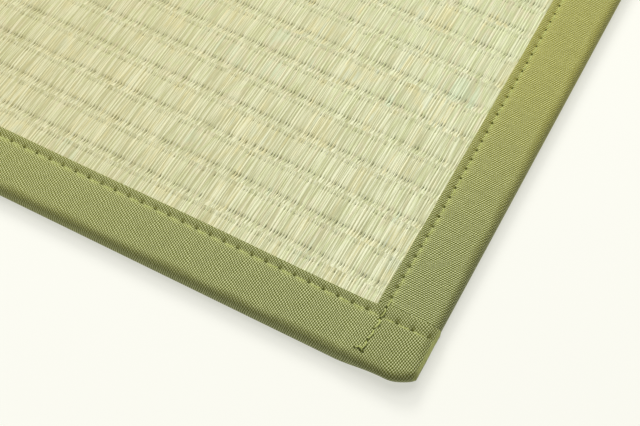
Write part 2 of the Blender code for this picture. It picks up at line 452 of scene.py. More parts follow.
def weave_tree():
    tree = bpy.data.node_groups.new("rush weave", "GeometryNodeTree")
    named_input(tree, "First rush", "NodeSocketInt", 0)
    named_input(tree, "Rushes", "NodeSocketInt", RUSHES_IN_BREADTH)
    named_input(tree, "Rush pitch", "NodeSocketFloat", RUSH_PITCH)
    named_input(tree, "Rib pitch", "NodeSocketFloat", RIB_PITCH)
    named_input(tree, "Column shift", "NodeSocketFloat", 0.00012)
    named_input(tree, "Row shift", "NodeSocketFloat", 0.00022)
    named_input(tree, "Seed", "NodeSocketInt", 3)
    tree.interface.new_socket("Mesh", in_out="OUTPUT", socket_type="NodeSocketGeometry")
    graph = Graph(tree)
    given = graph.node("NodeGroupInput").outputs
    seed = given["Seed"]
    columns = graph.times(given["Rushes"], 2.0, 1.0)
    mesh = graph.out(
        "GeometryNodeMeshGrid",
        {
            "Size X": columns,
            "Size Y": float(WEAVE_ROWS),
            "Vertices X": graph.plus(columns, 1.0),
            "Vertices Y": WEAVE_ROWS + 1,
        },
    )

    # The number of each column and row, from where the grid first lies
    position = graph.out("GeometryNodeInputPosition")
    place = graph.node("ShaderNodeSeparateXYZ", {0: position}).outputs
    column = graph.plus(place[0], graph.times(columns, 0.5))
    row = graph.plus(place[1], WEAVE_ROWS / 2)
    mesh = number_faces(graph, mesh, given, column, row)

    # Points: their row in the repeat, and whether they lie on a crest or in a valley
    shifted = graph.plus(graph.math("ROUND", row), 4.0)
    phase = graph.math("FLOORED_MODULO", shifted, ROWS_IN_REPEAT)
    repeat = graph.plus(shifted, 0.5)
    repeat = graph.math("FLOOR", graph.math("DIVIDE", repeat, ROWS_IN_REPEAT))
    point_column = graph.math("ROUND", column)
    point_column = graph.times(given["First rush"], 2.0, point_column)
    on_crest = graph.math("FLOORED_MODULO", graph.plus(point_column, repeat), 2.0)
    valley = graph.minus(1.0, on_crest)
    after_rib, crest_drop, valley_drop, gap = (
        look_up(graph, phase, values) for values in zip(*ROW_TABLE)
    )

    # Unevenness that belongs to a column, to a column in one repeat, and to a row
    def uneven(identity, kind, low=-1.0, high=1.0):
        return chance_of(graph, identity, graph.plus(seed, kind), low, high)

    here = graph.times(repeat, 5000.0, point_column)
    column_shift = graph.times(uneven(here, 2.0), 0.8)
    column_shift = graph.plus(uneven(point_column, 1.0), column_shift)
    row_shift = graph.times(uneven(here, 4.0), 1.2)
    row_shift = graph.plus(uneven(repeat, 3.0), row_shift)
    parting = uneven(here, 5.0, 0.76, 1.12)

    # Places: the straight pitch, the bow of the rows, the unevenness and a slow wander
    half_pitch = graph.times(given["Rush pitch"], 0.5)
    from_middle = graph.minus(point_column, float(RUSHES))
    middle = graph.times(from_middle, half_pitch)
    repeats = graph.minus(repeat, float(REPEATS_BEFORE))
    start = graph.times(repeats, given["Rib pitch"], FIRST_RIB - LIP)
    level = graph.plus(start, after_rib)
    reach = graph.times(middle, middle, BOW_REACH ** 2)
    bow = graph.minus(math.hypot(LIP, BOW_REACH), graph.math("SQRT", reach))
    bow = graph.times(bow, ROW_SKEW)
    y = graph.times(row_shift, given["Row shift"], graph.plus(level, bow))
    y = graph.times(soft_noise(graph, middle, level, 9.0, 1.7), 0.0003, y)
    y = graph.math("MAXIMUM", graph.math("MINIMUM", y, WEAVE_EDGE), -WEAVE_EDGE)
    x = graph.times(column_shift, given["Column shift"], middle)
    x = graph.times(soft_noise(graph, middle, level, 16.0, 4.1), 0.00025, x)
    drop = graph.lerp(crest_drop, graph.times(valley_drop, parting), valley)
    sway = soft_noise(graph, middle, level, 60.0, 8.3)
    sway = graph.times(sway, 0.000015, 0.00002)
    height = graph.minus(graph.minus(WEAVE_TOP, drop), sway)

    # Painted shade falls where rushes part at the ribs, but not where the bindings press them
    # together
    open_gap = graph.times(graph.times(gap, valley), parting)
    covered = graph.ease(graph.math("ABSOLUTE", x), LIP - 0.0045, LIP - 0.0015)
    open_gap = graph.times(open_gap, graph.minus(1.0, covered))
    values = {"row": row, "column": column, "valley": valley, "gap": open_gap}
    for name, value in values.items():
        mesh = store(graph, mesh, name, value, "POINT")
    mesh = graph.out(
        "GeometryNodeSetPosition",
        {"Geometry": mesh, "Position": graph.vector(x, y, height)},
    )
    mesh = crease_valleys(graph, trim(graph, mesh))
    mesh = graph.out("GeometryNodeRealizeInstances", {"Geometry": mesh})
    mesh = graph.out("GeometryNodeSetMaterial", {"Geometry": mesh, "Material": rush_finish})
    graph.node("NodeGroupOutput", {"Mesh": mesh})
    return tree


weave = weave_tree()
print("weave tree:", len(weave.nodes), "nodes")

# %% [markdown]
# ## From a tree to plain pieces
#
# A finished piece is a plain mesh with no modifier. The helper below runs a tree on an object,
# keeps what comes out and takes the modifier off. A second one closes an open sheet of faces
# with a skirt and a flat underside, so that the piece is a solid. The third lays out the map
# that a baked copy of the piece is painted on. The pieces are long and narrow, so their map is
# cut in lengths that lie side by side in the square.

# %% Piece helpers
def grow(name, tree, values, source=None):
    """Runs a node tree on an object and keeps what it makes as a plain mesh."""
    thing = bpy.data.objects.new(name, source or bpy.data.meshes.new(name))
    scene.collection.objects.link(thing)
    modifier = thing.modifiers.new("Grow", "NODES")
    modifier.node_group = tree
    for item in tree.interface.items_tree:
        if item.in_out == "INPUT" and item.name in values:
            modifier[item.identifier] = values[item.name]
    depsgraph = bpy.context.evaluated_depsgraph_get()
    mesh = bpy.data.meshes.new_from_object(
        thing.evaluated_get(depsgraph), preserve_all_data_layers=True, depsgraph=depsgraph)
    thing.modifiers.remove(modifier)
    thing.data = mesh
    mesh.name = name
    return thing


def close_below(mesh, depth):
    """Gives an open surface a skirt and a flat underside at one height."""
    bm = bmesh.new()
    bm.from_mesh(mesh)
    rim = [edge for edge in bm.edges if edge.is_boundary]
    for edge in rim:
        edge.smooth = False
    made = bmesh.ops.extrude_edge_only(bm, edges=rim)["geom"]
    for part in made:
        if isinstance(part, bmesh.types.BMVert):
            part.co.z = depth
    lower_rim = [edge for edge in bm.edges if edge.is_boundary]
    bmesh.ops.holes_fill(bm, edges=lower_rim, sides=0)
    for edge in lower_rim:
        edge.smooth = False
    bmesh.ops.recalc_face_normals(bm, faces=bm.faces)
    bm.to_mesh(mesh)
    bm.free()


def lay_out_map(mesh, along, across, lengths):
    """Lays a map named for the bake: each corner's share along and across, cut in lengths."""
    totals = np.zeros(len(mesh.polygons), dtype=int)
    mesh.polygons.foreach_get("loop_total", totals)
    starts = np.concatenate(([0], np.cumsum(totals)[:-1]))
    middles = np.add.reduceat(along, starts) / totals
    number = np.clip(np.floor(middles * lengths), 0, lengths - 1)
    number = np.repeat(number, totals)
    u = np.clip(along * lengths - number, 0.0, 1.0)
    v = (number + 0.01 + 0.98 * np.clip(across, 0.0, 1.0)) / lengths
    layer = mesh.uv_layers.new(name="OFBake", do_init=False)
    layer.uv.foreach_set("vector", np.stack([u, v], 1).astype(np.float32).ravel())


def corner_values(mesh, name):
    """An attribute on points, read at each corner of the faces."""
    values = np.zeros(len(mesh.vertices), dtype=np.float32)
    mesh.attributes[name].data.foreach_get("value", values)
    corners = np.zeros(len(mesh.loops), dtype=np.int32)
    mesh.loops.foreach_get("vertex_index", corners)
    return values[corners].astype(float)


def triangles(mesh):
    return sum(len(face.vertices) - 2 for face in mesh.polygons)


# %% [markdown]
# ## Weaving the mat in breadths
#
# Six hundred rushes with six rows for every rib come to three quarters of a million triangles.
# One mesh of that size is slow to handle, so the weave is made as eight breadths of 75 rushes.
# Their shared edges follow the valleys between rushes, where a join can't be seen.

# %% The breadths
WEAVE_FLOOR = 0.0045

breadths = []
for number in range(BREADTHS):
    values = {"First rush": number * RUSHES_IN_BREADTH, "Rushes": RUSHES_IN_BREADTH}
    breadth = grow(f"rush_weave_{number + 1}", weave, values)
    close_below(breadth.data, WEAVE_FLOOR)
    along = corner_values(breadth.data, "row") / WEAVE_ROWS
    across = corner_values(breadth.data, "column") / (2 * RUSHES_IN_BREADTH + 1)
    lay_out_map(breadth.data, along, across, 2)
    breadths.append(breadth)
print("breadths:", len(breadths), "with", triangles(breadths[0].data), "triangles each")

# %% [markdown]
# ## The mat under the weave
#
# Below the visible rushes lies the other half of the weave, and its underside is as plain as
# the floor needs. It is one slab. Its rim is thinned where the cloth wraps it, and a little
# more at the corners, where two layers of cloth lie over each other.

# %% Rush back material
def build_rush_back(graph, shader):
    x, y, z = shader_position(graph)
    rib_turns = graph.times(y, 2 * math.pi / RIB_PITCH)
    strand_turns = graph.times(x, 2 * math.pi / RUSH_PITCH)
    rib = graph.math("POWER", graph.math("ABSOLUTE", graph.math("COSINE", rib_turns)), 8.0)
    strand = graph.math("SINE", strand_turns)
    place = graph.vector(x, graph.times(y, FIBRE_STRETCH), z)
    fibre = graph.noise(place, 700.0, 2.0)
    colours = graph.node("ShaderNodeValToRGB", {"Fac": fibre})
    fill_ramp(colours, ((0.3, (0.52, 0.52, 0.28)), (0.7, (0.66, 0.66, 0.40))))
    colour = tinted(graph, colours.outputs["Color"], (0.32, 0.33, 0.16), rib, 0.5)
    graph.fill(shader.inputs["Base Color"], colour)
    shader.inputs["Roughness"].default_value = 0.7
    height = graph.minus(strand, graph.times(rib, 1.5))
    bump = graph.out("ShaderNodeBump", {"Height": height, "Strength": 0.5, "Distance": 0.0002})
    graph.fill(shader.inputs["Normal"], bump)


rush_back = finish_material("rush_underside", build_rush_back)

# %% Rush body
BODY_TOP = 0.0046
RIM_TOP = 0.0059
FIELD_EDGE = 0.3849
RIM_START = 0.3887
CORE_SIDE = SIDE_FACE - WRAP
COVERED_CORE_SIDE = COVERED_SIDE_FACE - WRAP


def loft(name, sections, material):
    """Joins closed sections of equal length and closes both ends."""
    count = len(sections[0])
    points = [point for section in sections for point in section]
    faces = []
    for i in range(len(sections) - 1):
        for j in range(count):
            k = (j + 1) % count
            faces.append((i * count + j, (i + 1) * count + j, (i + 1) * count + k, i * count + k))
    faces.append(tuple(range(count)))
    faces.append(tuple(reversed(range(len(points) - count, len(points)))))
    mesh = bpy.data.meshes.new(name)
    mesh.from_pydata(points, [], faces)
    mesh.materials.append(material)
    thing = bpy.data.objects.new(name, mesh)
    scene.collection.objects.link(thing)
    return thing


def body_section(y, half_width, bottom, top, in_field):
    """One section of the mat across X. Between the side bindings it is flat on the floor."""
    rim = min(0.0017, (top - bottom) / 2 - 0.0002)
    middle_bottom, middle_top = (0.0, BODY_TOP) if in_field else (bottom, top)
    right = [
        (RIM_START, top),
        (half_width - rim, top),
        (half_width, top - rim),
        (half_width, bottom + rim),
        (half_width - rim, bottom),
        (FIELD_EDGE + 0.0004, bottom),
    ]
    outline = [(RIM_START - 0.0002, middle_top)] + right + [(FIELD_EDGE, middle_bottom)]
    outline += [(-x, z) for x, z in reversed(outline)]
    return [(x, y, z) for x, z in outline]


def end_sections(side):
    """The sections of one end, from its tip to the field."""
    narrow = 2 * WRAP + 0.0001
    rounded_width = HALF_SIDE - 0.0038
    sections = [
        body_section(side * (HALF_SIDE - 0.0024), rounded_width - 0.0022, 0.003, 0.0044, False),
        body_section(side * (HALF_SIDE - 0.0036), rounded_width, narrow, 0.0052, False),
        body_section(side * (HALF_SIDE - 0.0050), COVERED_CORE_SIDE, narrow, 0.0052, False),
        body_section(side * RIM_START, COVERED_CORE_SIDE, narrow, 0.0052, False),
        body_section(side * (RIM_START - 0.0002), COVERED_CORE_SIDE, narrow, 0.0052, False),
        body_section(side * FIELD_EDGE, COVERED_CORE_SIDE, narrow, 0.0052, True),
        body_section(side * (FIELD_EDGE - 0.003), CORE_SIDE, WRAP, RIM_TOP, True),
    ]
    return sections


sections = end_sections(-1)
sections += [body_section(y, CORE_SIDE, WRAP, RIM_TOP, True) for y in np.linspace(-0.35, 0.35, 8)]
sections += reversed(end_sections(1))
rush_body = loft("rush_mat_body", sections, rush_back)
print("rush body:", triangles(rush_body.data), "triangles")

# %% [markdown]
# ## The finish of the cloth
#
# The bindings are a plain weave of two sets of yarn. Where a yarn of one set lies on top it
# catches the light as a small pale dot, and the dots sit like the squares of a chessboard. The
# strips are cut a little off the straight grain, so the pattern leans. Each piece carries a map
# named yarns, in metres along and across the strip, with that lean already in it. Two sine waves
# multiplied give the chessboard, noise makes yarns thicker and thinner, and the same pattern
# drives the bump.
#
# Four things tint the cloth beyond its yarns, all of them painted light or shade. The rim value is
# a painted highlight, pale where the cloth turns an edge and faint on the ridge between two needle
# holes. Painted shade darkens the puckers beside the needle holes. Points stored as low get painted
# shade where they lie in the shade of the lip, of the fold, of the corner's groove and of the
# strip's folded end. Away from the corners a warmer light is painted into the green.

# %% Cloth material
YARN_ALONG = 0.00083
YARN_ACROSS = 0.00047
CLOTH_COLOURS = (
    # place on the ramp, colour: between the yarns, low yarn, high yarn, where the light catches
    (0.10, (0.089, 0.104, 0.012)),
    (0.36, (0.203, 0.228, 0.044)),
    (0.60, (0.371, 0.405, 0.120)),
    (0.88, (0.668, 0.700, 0.385)),
)
# painted shade for the puckers and the low places, a painted rim highlight and a painted warmer
# light
PAINTED_PUCKER_SHADE = (0.112, 0.120, 0.010)
PAINTED_LOW_SHADE = (0.120, 0.122, 0.022)
PAINTED_RIM_HIGHLIGHT = (0.70, 0.75, 0.23)
WARM_LIGHT_ON_CLOTH = (0.60, 0.53, 0.07)
YARN_SWAY = 0.0011
YARN_STRETCH = 0.06


def yarn_pattern(graph, yarns, u, v):
    """High where a yarn lies on top, from three regular waves that sway a little."""
    sway = graph.noise(yarns, 160.0, 2.0)
    drift = graph.times(graph.minus(sway, 0.5), YARN_SWAY)
    turn_u = graph.times(graph.plus(u, drift), math.pi / YARN_ALONG)
    turn_v = graph.times(graph.minus(v, drift), math.pi / YARN_ACROSS)
    chess = graph.times(graph.math("SINE", turn_u), graph.math("SINE", turn_v))
    slant = graph.math("COSINE", graph.minus(turn_u, turn_v))
    yarn = graph.times(graph.math("COSINE", graph.times(turn_u, 2.0)), -1.0)
    pattern = graph.times(slant, 0.40, graph.times(yarn, 0.54))
    return graph.times(chess, 0.08, pattern)


def yarn_slubs(graph, u, v):
    """Thicker and thinner stretches of both sets of yarn."""
    along = graph.vector(graph.times(u, YARN_STRETCH), v, 0.0)
    across = graph.vector(u, graph.times(v, YARN_STRETCH), 3.0)
    return graph.plus(graph.noise(along, 2100.0, 1.0), graph.noise(across, 1200.0, 1.0))


def build_cloth(graph, shader):
    yarns = graph.node("ShaderNodeUVMap", uv_map="yarns").outputs[0]
    u, v = graph.node("ShaderNodeSeparateXYZ", {0: yarns}).outputs[:2]
    pattern = yarn_pattern(graph, yarns, u, v)
    slub = graph.times(yarn_slubs(graph, u, v), 0.17, 0.31)
    colours = graph.node("ShaderNodeValToRGB", {"Fac": graph.plus(pattern, slub)})
    fill_ramp(colours, CLOTH_COLOURS)
    colour = colours.outputs["Color"]

    # rim is a painted highlight; pucker and low are painted shade
    rim, pucker, low = (shader_value(graph, name) for name in ("rim", "pucker", "low"))
    x, y, z = shader_position(graph)
    # painted warmer light away from the corners
    side_warm_light = graph.ease(graph.math("ABSOLUTE", y), 0.38, 0.24)
    end_warm_light = graph.ease(graph.math("ABSOLUTE", x), 0.38, 0.20)
    warm_light = graph.times(end_warm_light, 0.35, side_warm_light)
    # painted highlight on the turned rim and on the ridge beside the seam
    colour = tinted(graph, colour, PAINTED_RIM_HIGHLIGHT, rim, 0.72)
    # painted shade in the puckers beside the needle holes
    colour = tinted(graph, colour, PAINTED_PUCKER_SHADE, graph.ease(pucker, 0.35, 0.90), 0.70)
    # painted shade beside the lip, over the fold, in the groove and at the folded ends
    colour = tinted(graph, colour, PAINTED_LOW_SHADE, low, 0.50)
    colour = tinted(graph, colour, WARM_LIGHT_ON_CLOTH, warm_light, 0.30)
    surface(graph, shader, colour, 0.85, 0.25, pattern, 0.8, 0.00020)
    shader.inputs["Sheen Weight"].default_value = 0.10


cloth_finish = finish_material("binding_cloth_weave", build_cloth)
print("material:", cloth_finish.name)

# %% [markdown]
# ## The shape of a folded binding
#
# A binding is one strip of cloth: its edge is turned under in a soft lip, it lies over the mat's
# edge, goes round it and comes back underneath. The machine seam runs three millimetres from
# the lip and pulls the cloth down, most at each needle hole, so the lip between seam and fold
# puffs up. Lofting one cross-section along the strip gives all of this, because only a few
# sizes change from place to place: the height, the width, and the pull of the nearest stitch.
#
# The table lists the top of the section from the lip outwards. The outer edge and underside
# follow from the cloth's radius, and the inside is a coarser line one cloth thickness in. Three
# more rows of numbers go round the section in the same order and say where light or shade is
# painted into its colour: painted shade in the puckers, beside the lip and where the strip folds
# over the mat's edge, and a painted highlight on the ridge between two needle holes.

# %% Binding section
EDGE_RADIUS = 0.0026
STITCH_PULL = 0.00034
PULL_REACH = 0.0011
LIP_TABLE = (
    # distance from the lip, drop below the top, share of the stitch's pull
    (-0.00030, 0.00060, 0.0),
    (-0.00024, 0.00026, 0.0),
    (0.00010, 0.00005, 0.1),
    (0.00110, 0.00000, 0.3),
    (0.00215, 0.00012, 0.8),
    (0.00300, 0.00042, 1.0),
    (0.00385, 0.00012, 0.4),
    (0.00560, 0.00000, 0.1),
    (0.01200, -0.00010, 0.0),
    (0.01800, 0.00010, 0.0),
    (0.02010, 0.00012, 0.0),
)
# Painted shade in the puckers, painted shade beside the lip and over the fold, and a painted
# highlight on the ridge, for each point round the section
PUCKER_SHADE_ROWS = (0.0, 0.0, 0.05, 0.35, 0.90, 1.0, 0.10)
PAINTED_SHADE_ROWS = (
    0.50, 0.50, 0.40, 0.35, 0.45, 0.20, 0.0, 0.0, 0.0, 0.0, 0.10,
    0.85, 0.95, 0.75, 0.40, 0.30, 0.30, 0.30, 0.30,
)
FOLD_ROW = 11
RIDGE_HIGHLIGHT_ROWS = (0.0, 0.0, 0.0, 0.0, 0.0, 0.15, 0.26)
TABLE_SEAM = 0.0030
SEAM_ROW = 5
INNER_POINTS = 7
EDGE_TURNS = (0.0, 30.0, 60.0, 90.0)


def section_points(lip, face, bottom, top, seam, pull, sunk, solid):
    """One closed section as (distance out from the mat's middle, height) pairs."""
    radius = min(EDGE_RADIUS, (top - bottom) / 2 - 0.0002)
    stretch = (face - lip) / BINDING_WIDTH
    points = []
    for distance, drop, share in LIP_TABLE:
        near_seam = 1.0 - min(abs(distance - TABLE_SEAM) / TABLE_SEAM, 1.0)
        out = lip + distance * stretch + near_seam * (seam - TABLE_SEAM)
        low = drop + share * pull * STITCH_PULL + sunk(distance)
        points.append((out, top - low))
    for turn in EDGE_TURNS:
        angle = math.radians(turn)
        out = face - radius + radius * math.sin(angle)
        points.append((out, top - radius + radius * math.cos(angle)))
    for turn in reversed(EDGE_TURNS):
        angle = math.radians(turn)
        out = face - radius + radius * math.sin(angle)
        points.append((out, bottom + radius - radius * math.cos(angle)))
    points.append((lip + 0.012, bottom))
    points.append((lip + seam, bottom + 0.00080))
    points.append((lip, bottom + 0.00005))
    if solid:
        low, high = bottom + 0.0003, top - 0.0009
        rise = high - low
        points += [(lip, low + rise * i / (INNER_POINTS - 1)) for i in range(INNER_POINTS)]
        return points
    inner = radius * 0.9
    points += [
        (lip + 0.0002, bottom + CLOTH),
        (face - inner, bottom + CLOTH),
        (face - CLOTH, bottom + inner),
        (face - CLOTH, top - inner),
        (face - inner, top - CLOTH - sunk(BINDING_WIDTH)),
        (lip + seam, top - CLOTH - 0.0004),
        (lip + 0.0004, top - CLOTH),
    ]
    return points


def not_sunk(distance):
    """The sinking of a section that nothing presses down."""
    return 0.0


plain_section = section_points(LIP, HALF_SIDE, 0.0, THICKNESS, TABLE_SEAM, 0.0, not_sunk, False)
SECTION_POINTS = len(plain_section)
steps = np.diff(np.array(plain_section + plain_section[:1]), axis=0)
GIRTH = np.concatenate(([0.0], np.cumsum(np.hypot(steps[:, 0], steps[:, 1]))))
OUTER_GIRTH = float(GIRTH[SECTION_POINTS - INNER_POINTS])
print("cloth round the mat's edge:", round(OUTER_GIRTH, 4), "m from lip to lip")

# %% [markdown]
# ## The seams' spacing
#
# A sewing machine feeds the cloth by the same step each time, so the holes are evenly spaced.
# The side seams have shorter stitches than the front and back ones. The bindings need the holes'
# places for their puckers, and the sewing needs them for its stitches, so they come first.

# %% Seam sizes
SIDE_SEAM = 0.0032
END_SEAM = 0.0034
SIDE_SEAM_END = 0.4052
END_SEAM_END = 0.4073
SIDE_STITCHES = 165
END_STITCHES = 136

side_holes = np.linspace(-SIDE_SEAM_END, SIDE_SEAM_END, SIDE_STITCHES + 1)
end_holes = np.linspace(-END_SEAM_END, END_SEAM_END, END_STITCHES + 1)
lengths = [round(float(holes[1] - holes[0]), 5) for holes in (side_holes, end_holes)]
print("stitch lengths, side and end:", lengths)


def pull_at(along, holes):
    """How strongly the nearest needle hole draws the cloth in, from 0 to 1."""
    nearest = np.min(np.abs(holes - along))
    return math.exp(-((nearest / PULL_REACH) ** 2))


# %% [markdown]
# ## Side bindings and end bindings
#
# The side strips were folded on first, and their ends run on under the other two. There they
# dip and draw in to make room. The front and back strips come last: they rise a little over the
# side strips, their lips reach forward over them, and their ends are folded down over the mat's
# corners, rounded in plan and in height. A shallow groove shows where the covered side strip
# ends, and the cloth is drawn in and up where it was tucked under the corner. The side seams
# were sewn last of all and cross the front and back strips.
#
# Each strip is made along X on the front side and turned to its own side. Where the end of a
# front strip is closed, the section changes from an open fold to a solid one within a tenth of
# a millimetre, and that leaves an inner wall one cloth thick.

# %% Binding stations
SIDE_CLOTH_END = HALF_SIDE - 0.0055
CORNER_REACH = 0.0095
CORNER_INSET = 0.0047
CROSSING = LIP + SIDE_SEAM
CROSSING_SINK = 0.00026
GROOVE = HALF_SIDE - 0.0021
GROOVE_DEPTH = 0.0003
GROOVE_WIDTH = 0.0006
CROSSING_WIDTH = 0.0008


def hump(value, middle, width):
    """1 at the middle, falling away on both sides like a bell."""
    return np.exp(-(((value - middle) / width) ** 2))


def side_station(along):
    """A side strip's section at one place along it."""
    dip = float(smooth_step(LIP - 0.0020, LIP - 0.0010, abs(along)))
    top = THICKNESS - dip * 0.0008
    face = SIDE_FACE - dip * (SIDE_FACE - COVERED_SIDE_FACE)
    pull = pull_at(along, side_holes) * (1.0 - dip)
    lip = LIP - lip_wave(along)
    return section_points(lip, face, dip * WRAP, top, SIDE_SEAM, pull, not_sunk, False)


def end_station(along):
    """A front or back strip's section at one place along it."""
    reached = abs(along)
    rise = float(smooth_step(LIP - 0.0065, LIP - 0.0030, reached))
    reach = float(smooth_step(LIP - 0.0008, LIP + 0.0010, reached)) * OVERLAP_REACH
    past_edge = max(reached - (HALF_SIDE - EDGE_RADIUS), 0.0)
    past_corner = max(reached - (HALF_SIDE - CORNER_REACH), 0.0) / CORNER_REACH
    fall = EDGE_RADIUS - math.sqrt(max(EDGE_RADIUS ** 2 - past_edge ** 2, 0.0))
    inset = CORNER_INSET * past_corner ** 2
    top = THICKNESS + rise * CORNER_RISE - fall
    crossing = float(hump(reached, CROSSING, CROSSING_WIDTH)) * CROSSING_SINK
    groove = float(hump(reached, GROOVE, GROOVE_WIDTH)) * GROOVE_DEPTH

    def sunk(distance):
        seam_share = float(1.0 - smooth_step(0.0185, 0.0205, distance))
        groove_share = float(1.0 - smooth_step(0.004, 0.014, distance))
        return crossing * seam_share + groove * groove_share

    return section_points(
        LIP - lip_wave(along) - reach, HALF_SIDE - inset, fall, top, END_SEAM + reach,
        pull_at(along, end_holes), sunk, reached > HALF_SIDE - CLOTH)


def strip_places(holes, plain_end, end_places):
    """Three sections to a stitch along the strip, and the given ones at both ends."""
    step = holes[1] - holes[0]
    places = [hole + share * step for hole in holes for share in (0.0, 0.3, 0.7)]
    places = [place for place in places if abs(place) < plain_end]
    places += [side * place for place in end_places for side in (-1, 1)]
    return sorted(places)


print("binding sections:", SECTION_POINTS, "points each, one thickness of cloth in")

# %% [markdown]
# ## What the cloth carries
#
# The loft gives bare faces. The functions below measure them: the distance along the strip and
# round it at each corner of a face, for the map that is baked and for the map of the yarns. They
# store how each point is tinted, and they tuck the cloth in at the mat's corners.

# %% Binding maps and tints
INNER_SHARE = 0.12
TUCK_ALONG = 0.0006
TUCK_IN = 0.0017
TUCK_UP = 0.0010
FOLD_TURN = 190.0
FOLD_DRIFT = 75.0
OVERLAP = (0.387, 0.391)
GROOVE_SIDE = (0.392, 0.400)
GROOVE_HEIGHT = (0.005, 0.0065)
TIP_EDGE = (0.4088, 0.4096)
TIP_HEIGHT = (0.0020, 0.0045)


def draw_in_corners(spots):
    """Pulls the cloth in and up at both ends, where it was folded under the mat's corners."""
    from_middle, outward = np.abs(spots[:, 0]), -spots[:, 1]
    side = np.sign(spots[:, 0])
    lower = 1.0 - smooth_step(0.0, THICKNESS, spots[:, 2])
    near_front = smooth_step(HALF_SIDE - 0.010, HALF_SIDE, outward)
    near_end = smooth_step(HALF_SIDE - 0.010, HALF_SIDE, from_middle)
    end_part = smooth_step(HALF_SIDE - 0.012, HALF_SIDE - 0.002, from_middle)
    waist = smooth_step(HALF_SIDE - 0.030, HALF_SIDE - 0.011, from_middle) * near_front
    spots[:, 0] += side * TUCK_ALONG * end_part
    spots[:, 1] += waist * TUCK_IN * lower
    spots[:, 2] += near_front * near_end * lower * TUCK_UP


def path_length(along):
    """Distance along a strip, following the curve down at its ends."""
    past = np.clip(np.abs(along) - (HALF_SIDE - EDGE_RADIUS), 0.0, EDGE_RADIUS)
    arc = EDGE_RADIUS * np.arcsin(past / EDGE_RADIUS)
    return along + np.sign(along) * (arc - past)


def corner_distances(places):
    """Distance along a strip and round it, at each corner in the order that the loft gives."""
    near, far = np.array(places[:-1]), np.array(places[1:])
    along = np.stack([near, far, far, near], 1)
    along = np.repeat(along[:, None, :], SECTION_POINTS, 1).reshape(-1)
    across = np.stack([GIRTH[:-1], GIRTH[:-1], GIRTH[1:], GIRTH[1:]], 1)
    across = np.repeat(across[None, :, :], len(places) - 1, 0).reshape(-1)
    along = np.concatenate([along, np.repeat([places[0], places[-1]], SECTION_POINTS)])
    across = np.concatenate([across, GIRTH[:-1], GIRTH[:-1][::-1]])
    return along, across


def distance_from_seam(sections):
    """Distance round each section from its seam, outwards both ways, at the same corners."""
    rings = np.array([[(out, height) for _, out, height in section] for section in sections])
    closed = np.concatenate([rings, rings[:, :1]], 1)
    steps = np.linalg.norm(np.diff(closed, axis=1), axis=2)
    round_it = np.concatenate([np.zeros((len(sections), 1)), np.cumsum(steps, 1)], 1)
    round_it -= round_it[:, SEAM_ROW:SEAM_ROW + 1]
    near, far = round_it[:-1], round_it[1:]
    corners = np.stack([near[:, :-1], far[:, :-1], far[:, 1:], near[:, 1:]], 2).reshape(-1)
    return np.concatenate([corners, round_it[0, :-1], round_it[-1, :-1][::-1]])


def lay_out_cloth(mesh, sections, places, lean):
    """Gives a strip its two maps: one for its yarns, leaning, and one for the bake."""
    along, across = corner_distances(places)
    own = distance_from_seam(sections)
    yarns = mesh.uv_layers.new(name="yarns", do_init=False)
    leaning = np.stack([path_length(along) + own * math.tan(math.radians(lean)), own], 1)
    yarns.uv.foreach_set("vector", leaning.astype(np.float32).ravel())
    outer = (1.0 - INNER_SHARE) * across / OUTER_GIRTH
    inner = 1.0 - INNER_SHARE * (GIRTH[-1] - across) / (GIRTH[-1] - OUTER_GIRTH)
    shares = np.where(across <= OUTER_GIRTH, outer, inner)
    lay_out_map(mesh, (along - places[0]) / (places[-1] - places[0]), shares, 4)


def round_section(values):
    """Values for the first points of a section, and 0 for the rest."""
    row = np.zeros(SECTION_POINTS)
    row[:len(values)] = values
    return row


def give_points(mesh, name, values):
    """Lets the mesh carry one number for each point."""
    made = mesh.attributes.new(name, "FLOAT", "POINT")
    made.data.foreach_set("value", np.asarray(values, dtype=np.float32).reshape(-1))


def tint_cloth(mesh, spots, places, holes, is_end):
    """Stores where painted shade and painted highlights go on a strip, puckers included."""
    from_middle, outward, height = np.abs(spots[:, 0]), -spots[:, 1], spots[:, 2]
    in_groove = hump(from_middle, GROOVE, 0.0007) * (1.0 - smooth_step(*GROOVE_SIDE, outward))
    in_groove *= smooth_step(*GROOVE_HEIGHT, height)
    at_end = smooth_step(*OVERLAP, from_middle) if is_end else 0.0
    folded_lip = at_end * (outward < LIP + END_SEAM)

    # The painted shade of the fold swells and fades along the strip
    along = np.array(places)
    shades = np.tile(round_section(PAINTED_SHADE_ROWS), (len(places), 1))
    swell = np.sin(along * FOLD_TURN + 1.5 * np.sin(along * FOLD_DRIFT))
    shades[:, FOLD_ROW] *= 0.65 + 0.35 * swell
    low = np.maximum(in_groove, shades.reshape(-1) * (1.0 - 0.7 * folded_lip))
    # painted shade, a little more over the strip's folded end at the corner
    give_points(mesh, "low", low + 0.20 * at_end)

    # painted highlight: the tip's turned edge and the ridge between needle holes
    tip = smooth_step(*TIP_EDGE, from_middle) * smooth_step(*TIP_HEIGHT, height)
    pulls = np.array([pull_at(place, holes) for place in places])[:, None]
    ridge = (1.0 - pulls) * round_section(RIDGE_HIGHLIGHT_ROWS)
    give_points(mesh, "rim", np.maximum(tip, ridge.reshape(-1)))
    # painted shade in the puckers
    give_points(mesh, "pucker", pulls * round_section(PUCKER_SHADE_ROWS))


print("cloth on the bake's map:", 1.0 - INNER_SHARE, "outside,", INNER_SHARE, "inside")

# %% [markdown]
# Now the four strips can be made. More sections go where the shape changes fast: three to each
# stitch, and a row of them through the dip of the side strips and the ends of the other two.

